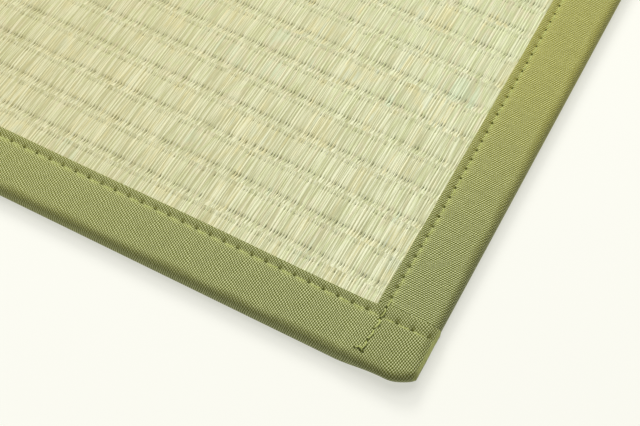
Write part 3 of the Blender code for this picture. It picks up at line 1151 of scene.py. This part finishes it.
# %% Binding pieces
def binding(name, station, places, lean, turn, holes):
    """Lofts one strip of cloth, tints it and turns it to its side."""
    sections = []
    for along in places:
        sections.append([(along, -out, height) for out, height in station(along)])
    thing = loft(name, sections, cloth_finish)
    mesh = thing.data
    is_end = station is end_station
    lay_out_cloth(mesh, sections, places, lean)
    spots = np.zeros(len(mesh.vertices) * 3)
    mesh.vertices.foreach_get("co", spots)
    spots = spots.reshape(-1, 3)
    tint_cloth(mesh, spots, places, holes, is_end)
    if is_end:
        draw_in_corners(spots)
        mesh.vertices.foreach_set("co", spots.reshape(-1))
    mesh.transform(Matrix.Rotation(turn, 4, "Z"))
    bm = bmesh.new()
    bm.from_mesh(mesh)
    bmesh.ops.recalc_face_normals(bm, faces=bm.faces)
    bm.to_mesh(mesh)
    bm.free()
    mesh.shade_smooth()
    mesh.set_sharp_from_angle(angle=math.radians(50))
    print(name, len(places), "sections,", triangles(mesh), "triangles")
    return thing


def rounded_ends(turns):
    """Places on the strip's rounded end, by how far the round has turned in degrees."""
    return [HALF_SIDE - EDGE_RADIUS * (1 - math.sin(math.radians(turn))) for turn in turns]


side_ends = [LIP - back for back in (0.0040, 0.0026, 0.0020, 0.0017, 0.0013, 0.0010)]
side_ends += [LIP + 0.004, LIP + 0.010, SIDE_CLOTH_END]
side_places = strip_places(side_holes, LIP - 0.0045, side_ends)
end_ends = list(np.arange(LIP - 0.0070, HALF_SIDE - 0.0035, 0.0008))
end_ends += rounded_ends((0, 22, 38))
end_ends += [HALF_SIDE - CLOTH - 0.00005, HALF_SIDE - CLOTH + 0.00005]
end_ends += rounded_ends((56, 72, 90))
end_places = strip_places(end_holes, LIP - 0.0075, end_ends)

right, left = math.pi / 2, -math.pi / 2
binding_right = binding("binding_right_cloth", side_station, side_places, 4.4, right, side_holes)
binding_left = binding("binding_left_cloth", side_station, side_places, -3.0, left, side_holes)
binding_front = binding("binding_front_cloth", end_station, end_places, 14.5, 0.0, end_holes)
binding_back = binding("binding_back_cloth", end_station, end_places, 9.0, math.pi, end_holes)

# %% [markdown]
# ## Sewing
#
# A lockstitch shows on both faces as short lengths of thread that go down into the needle
# holes. The thread is a brighter green than the cloth. One stitch is made once in the tree: a
# slightly arched curve with a round section that thins where it dives. It is put on every edge
# of a simple line of points, turned to the edge's direction and stretched to its length. Each
# point of the line gets a small dark cone, painted shade in its needle hole. Small seeded turns
# keep the stitches from being twins of one another.

# %% Thread and hole shade materials
def build_thread(graph, shader):
    x, y, z = shader_position(graph)
    twist = graph.plus(graph.plus(x, y), graph.times(z, 2.0))
    ply = graph.math("SINE", graph.times(twist, 9000.0))
    colours = graph.node("ShaderNodeValToRGB", {"Fac": graph.times(ply, 0.5, 0.5)})
    fill_ramp(colours, ((0.0, (0.34, 0.39, 0.10)), (0.8, (0.56, 0.61, 0.21))))
    surface(graph, shader, colours.outputs["Color"], 0.6, 0.4, ply, 0.4, 0.00005)


def build_hole(graph, shader):
    # painted shade: the dark inside of a needle hole
    shader.inputs["Base Color"].default_value = (0.075, 0.085, 0.018, 1.0)
    shader.inputs["Roughness"].default_value = 0.95
    shader.inputs["Specular IOR Level"].default_value = 0.1


thread_finish = finish_material("sewing_thread", build_thread)
hole_shade_finish = finish_material("needle_hole_shade", build_hole)

# %% Stitch tree
STITCH_END = 0.45
DIVE = 0.00026
CROWN_ASIDE = -0.0013


def one_stitch(graph, given):
    """One stitch, a unit long: it dives at both ends and thins there."""
    start = graph.vector(-STITCH_END, 0.0001, -DIVE)
    crown = graph.times(given["Arch"], 2.0, DIVE)
    path = graph.out(
        "GeometryNodeCurveQuadraticBezier",
        {
            "Resolution": 4,
            "Start": start,
            "Middle": graph.vector(0.0, CROWN_ASIDE, crown),
            "End": graph.vector(STITCH_END, 0.0001, -DIVE),
        },
    )
    share = graph.out("GeometryNodeSplineParameter")
    from_middle = graph.math("ABSOLUTE", graph.times(share, 2.0, -1.0))
    girth = graph.times(graph.math("POWER", from_middle, 3.0), -0.45, 1.0)
    path = graph.out("GeometryNodeSetCurveRadius", {"Curve": path, "Radius": girth})
    ring = graph.out(
        "GeometryNodeCurvePrimitiveCircle", {"Resolution": 5, "Radius": given["Thread radius"]})
    stitch = graph.out(
        "GeometryNodeCurveToMesh", {"Curve": path, "Profile Curve": ring, "Fill Caps": True})
    return store(graph, stitch, "hole", 0.0, "FACE")


def facing(graph, direction, up):
    """A turn that points X along a direction and Z up."""
    turned = graph.node("FunctionNodeAxesToRotation", primary_axis="X", secondary_axis="Z")
    graph.fill(turned.inputs[0], direction)
    graph.fill(turned.inputs[1], up)
    return turned.outputs[0]


def place_on(graph, line, kind, instance, turn, size):
    """Puts a copy on each edge or each point of a line."""
    points = graph.out("GeometryNodeMeshToPoints", {"Mesh": line}, mode=kind)
    return graph.out(
        "GeometryNodeInstanceOnPoints",
        {"Points": points, "Instance": instance, "Rotation": turn, "Scale": size},
    )


def stitch_tree():
    tree = bpy.data.node_groups.new("seam stitches", "GeometryNodeTree")
    tree.interface.new_socket("Seam line", in_out="INPUT", socket_type="NodeSocketGeometry")
    named_input(tree, "Thread radius", "NodeSocketFloat", 0.00027)
    named_input(tree, "Arch", "NodeSocketFloat", 0.00050)
    named_input(tree, "Hole radius", "NodeSocketFloat", 0.00052)
    named_input(tree, "Seed", "NodeSocketInt", 11)
    tree.interface.new_socket("Mesh", in_out="OUTPUT", socket_type="NodeSocketGeometry")
    graph = Graph(tree)
    given = graph.node("NodeGroupInput").outputs
    stitch = one_stitch(graph, given)

    def uneven(kind, low, high):
        seed = given["Seed"] if kind == 0 else graph.plus(given["Seed"], float(kind))
        return chance_of(graph, graph.out("GeometryNodeInputIndex"), seed, low, high)

    # Each edge of the line carries one stitch
    ends = graph.node("GeometryNodeInputMeshEdgeVertices").outputs
    reach = graph.out(
        "ShaderNodeVectorMath",
        {0: ends["Position 2"], 1: ends["Position 1"]},
        operation="SUBTRACT",
    )
    line = store(graph, given["Seam line"], "reach", reach, "EDGE", "FLOAT_VECTOR")
    reach = stored(graph, "reach", "FLOAT_VECTOR")
    up = graph.vector(0.0, 0.0, stored(graph, "outward"))
    slight = graph.vector(0.0, 0.0, uneven(0, -0.07, 0.07))
    turned = graph.out(
        "FunctionNodeRotateRotation",
        {"Rotation": facing(graph, reach, up), "Rotate By": slight},
        rotation_space="LOCAL",
    )
    span = graph.node("ShaderNodeVectorMath", {0: reach}, operation="LENGTH").outputs["Value"]
    thick = graph.times(uneven(1, 0.86, 1.14), stored(graph, "weight"))
    size = graph.vector(span, thick, thick)
    stitches = place_on(graph, line, "EDGES", stitch, turned, size)

    # Each point of the line is a needle hole, a shallow dark cone painted with the hole's shade
    cone = graph.out(
        "GeometryNodeMeshCone",
        {
            "Vertices": 6,
            "Radius Top": given["Hole radius"],
            "Radius Bottom": 0.0,
            "Depth": 0.0002,
        },
    )
    cone = store(graph, cone, "hole", 1.0, "FACE")
    wide = uneven(2, 0.8, 1.25)
    upright = facing(graph, (1.0, 0.0, 0.0), up)
    holes = place_on(graph, line, "VERTICES", cone, upright, graph.vector(wide, wide, 1.0))

    joined = graph.node("GeometryNodeJoinGeometry")
    tree.links.new(stitches, joined.inputs[0])
    tree.links.new(holes, joined.inputs[0])
    mesh = graph.out("GeometryNodeRealizeInstances", {"Geometry": joined.outputs[0]})
    is_hole = graph.math("GREATER_THAN", stored(graph, "hole"), 0.5)
    mesh = graph.out("GeometryNodeSetMaterial", {"Geometry": mesh, "Material": thread_finish})
    mesh = graph.out(
        "GeometryNodeSetMaterial",
        {"Geometry": mesh, "Material": hole_shade_finish, "Selection": is_hole},
    )
    graph.node("NodeGroupOutput", {"Mesh": mesh})
    return tree


sewing = stitch_tree()
print("stitch tree:", len(sewing.nodes), "nodes")

# %% [markdown]
# The line of holes follows the cloth's own height, which the section functions above know: the
# seam's place is the sixth row of the table. Side seams leave their own strip where it dips
# under the front one and go on over that in slightly heavier stitches, and end with one short
# stitch across, where the machine went back. The front and back seams run on over the strip's
# end with one more stitch down its edge.

# %% Seams
UNDER_LINE = 0.0012
BACK_STITCH = (-0.0010, 0.0022)
OVER_THE_END = (0.0027, -0.0021)
HEAVY = 1.35
END_WEIGHT = 1.2
SEAM_WANDER = 0.0006


def seam_height(station, along):
    """Height of a strip's top along its seam."""
    return station(along)[SEAM_ROW][1]


def seam(name, seam_distance, holes, height_at, turn, across_ends):
    """A line of needle holes above and below, with a stitch on each step of it."""
    points, outward, weight, edges = [], [], [], []
    for above in (True, False):
        first = len(points)
        for along in holes:
            height = height_at(along) if above else UNDER_LINE
            near_end = float(smooth_step(0.398, SIDE_SEAM_END, abs(along)))
            wander = SEAM_WANDER * near_end if across_ends else 0.0
            points.append((along, wander - LIP - seam_distance, height))
            outward.append(1.0 if above else -1.0)
            weight.append(HEAVY if across_ends and above and abs(along) > LIP else 1.0)
        edges += [(i, i + 1) for i in range(first, len(points) - 1)]
    for tip in (0, len(holes) - 1):
        x, y, z = points[tip]
        if across_ends:
            points += [(x, y + side, z + 0.0001) for side in BACK_STITCH]
            outward += [1.0, 1.0]
            weight += [HEAVY, HEAVY]
            edges.append((len(points) - 2, len(points) - 1))
        else:
            over, down = OVER_THE_END
            points.append((x + math.copysign(over, x), y, z + down))
            outward.append(1.0)
            weight.append(END_WEIGHT)
            edges.append((tip, len(points) - 1))
    mesh = bpy.data.meshes.new(name)
    mesh.from_pydata(points, edges, [])
    give_points(mesh, "outward", outward)
    give_points(mesh, "weight", weight)
    mesh.transform(Matrix.Rotation(turn, 4, "Z"))
    thing = grow(name, sewing, {"Seed": 11 + int(10 * abs(turn))}, mesh)
    print(name, len(edges), "stitches,", triangles(thing.data), "triangles")
    return thing


def side_height(along):
    """A side seam lies on its own strip, and past the fold on the strip that covers it."""
    if abs(along) < LIP - OVERLAP_REACH:
        return seam_height(side_station, along)
    return THICKNESS + CORNER_RISE - CROSSING_SINK + 0.00002


def end_height(along):
    return seam_height(end_station, min(abs(along), HALF_SIDE - 0.002))


sewing_right = seam("sewing_right", SIDE_SEAM, side_holes, side_height, right, True)
sewing_left = seam("sewing_left", SIDE_SEAM, side_holes, side_height, left, True)
sewing_front = seam("sewing_front", END_SEAM, end_holes, end_height, 0.0, False)
sewing_back = seam("sewing_back", END_SEAM, end_holes, end_height, math.pi, False)

# %% [markdown]
# ## Attaching the pieces
#
# Every piece rides on the mat's one body and hides the plain solid that it stands for. Each
# strip is listed with its thread and the length it was cut to: the mat lies flat, and each
# binding is a strip folded round its edge.

# %% Pieces on the body
def stand_for(piece, node):
    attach(piece, "root")
    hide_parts(node)


for piece in [rush_body, *breadths]:
    stand_for(piece, "rush_mat")
strips = {
    "binding_right": (binding_right, sewing_right, 2 * SIDE_CLOTH_END),
    "binding_left": (binding_left, sewing_left, 2 * SIDE_CLOTH_END),
    "binding_front": (binding_front, sewing_front, 2 * HALF_SIDE),
    "binding_back": (binding_back, sewing_back, 2 * HALF_SIDE),
}
for node, (cloth, thread, length) in strips.items():
    stand_for(cloth, node)
    stand_for(thread, node)

# %% [markdown]
# ## Floor, light and camera
#
# The mat lies on a plain pale floor under very soft light, so its shadows are faint and short.
# A pale sky gives most of the light, and one broad lamp high at the back left gives it a
# direction: the ribs and rushes need that to be seen. The camera looks down on the front right
# corner from close by.

# %% Stage
SKY_LIGHT = 0.22
SKY_SEEN = 0.92


def build_floor(graph, shader):
    shader.inputs["Base Color"].default_value = (0.40, 0.40, 0.37, 1.0)
    shader.inputs["Emission Color"].default_value = (1.0, 1.0, 0.93, 1.0)
    shader.inputs["Emission Strength"].default_value = 0.55
    shader.inputs["Roughness"].default_value = 0.9
    shader.inputs["Specular IOR Level"].default_value = 0.2


floor_mesh = bpy.data.meshes.new("floor")
floor_mesh.from_pydata([(-4, -4, 0), (4, -4, 0), (4, 4, 0), (-4, 4, 0)], [], [(0, 1, 2, 3)])
floor_mesh.materials.append(finish_material("pale_floor", build_floor))
floor = bpy.data.objects.new("floor", floor_mesh)
scene.collection.objects.link(floor)

world = scene.world or bpy.data.worlds.new("studio")
scene.world = world
world.use_nodes = True
sky = Graph(world.node_tree)
to_camera = sky.node("ShaderNodeLightPath").outputs["Is Camera Ray"]
background = world.node_tree.nodes["Background"]
background.inputs["Color"].default_value = (1.0, 0.995, 0.97, 1.0)
sky.fill(background.inputs["Strength"], sky.lerp(SKY_LIGHT, SKY_SEEN, to_camera))


def soft_lamp(name, place, size, power):
    """A round lamp aimed at the mat's middle."""
    data = bpy.data.lights.new(name, "AREA")
    data.shape = "DISK"
    data.size = size
    data.energy = power
    data.color = (1.0, 0.99, 0.96)
    lamp = bpy.data.objects.new(name, data)
    lamp.location = place
    lamp.rotation_euler = (-lamp.location).to_track_quat("-Z", "Y").to_euler()
    scene.collection.objects.link(lamp)


soft_lamp("key_lamp", (-1.0, 1.3, 1.7), 1.0, 43.0)
soft_lamp("top_lamp", (-0.2, 0.3, 2.2), 2.0, 34.0)
scene.view_settings.view_transform = "Standard"

# %% Camera
LENS = 72.77
YAW_PITCH_ROLL = (27.71, 58.19, 0.55)
FROM_CORNER = (0.082642, -0.202858, 0.413962)


def camera_axes(yaw, pitch, roll):
    """The camera's right, up and back directions, from its heading, dip and tilt in degrees."""
    yaw, pitch, roll = (math.radians(angle) for angle in (yaw, pitch, roll))
    forward = np.array([
        -math.sin(yaw) * math.cos(pitch),
        math.cos(yaw) * math.cos(pitch),
        -math.sin(pitch),
    ])
    level = np.array([math.cos(yaw), math.sin(yaw), 0.0])
    down = np.cross(forward, level)
    right = math.cos(roll) * level - math.sin(roll) * down
    down = math.sin(roll) * level + math.cos(roll) * down
    return right, -down, -forward


camera_data = bpy.data.cameras.new("camera")
camera_data.lens = LENS
camera_data.clip_start = 0.01
camera = bpy.data.objects.new("camera", camera_data)
turned = Matrix.Identity(4)
for column, axis in enumerate(camera_axes(*YAW_PITCH_ROLL)):
    for line in range(3):
        turned[line][column] = axis[line]
corner = (LIP, -LIP, THICKNESS)
turned.translation = [start + step for start, step in zip(corner, FROM_CORNER)]
camera.matrix_world = turned
scene.collection.objects.link(camera)
scene.camera = camera
